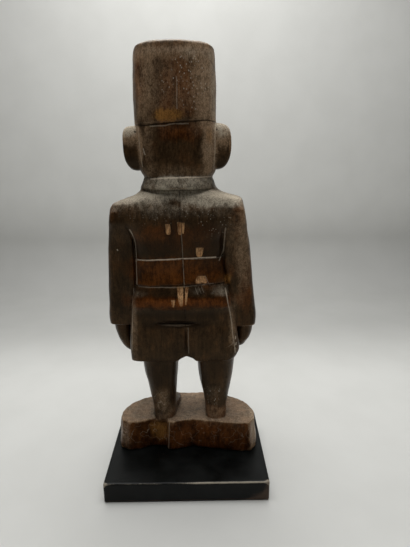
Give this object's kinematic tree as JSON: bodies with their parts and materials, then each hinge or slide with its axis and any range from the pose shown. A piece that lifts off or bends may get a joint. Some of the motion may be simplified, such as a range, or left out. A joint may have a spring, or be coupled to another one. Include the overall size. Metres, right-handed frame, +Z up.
{
  "type": "african colon figure",
  "caption": "Dark-stained carved wooden standing man in a belted coat and tall round cap, on a rough carved block and a black rectangular plinth.",
  "frame": {"origin": "under the middle of the plinth, on the surface that it stands on", "axes": "+Z up; the man faces -Y; his left side is at +X"},
  "size_m": [0.1272, 0.0916, 0.3314],
  "materials": {
    "carved_wood": "dark brown stain, worn to red-brown, dusty on upward faces, satin",
    "black_paint": "black paint on wood, semi-gloss, scuffed along the edges"
  },
  "bodies": {
    "root": {"carved_figure": "carved_wood", "plinth": "black_paint"}
  },
  "joints": []
}
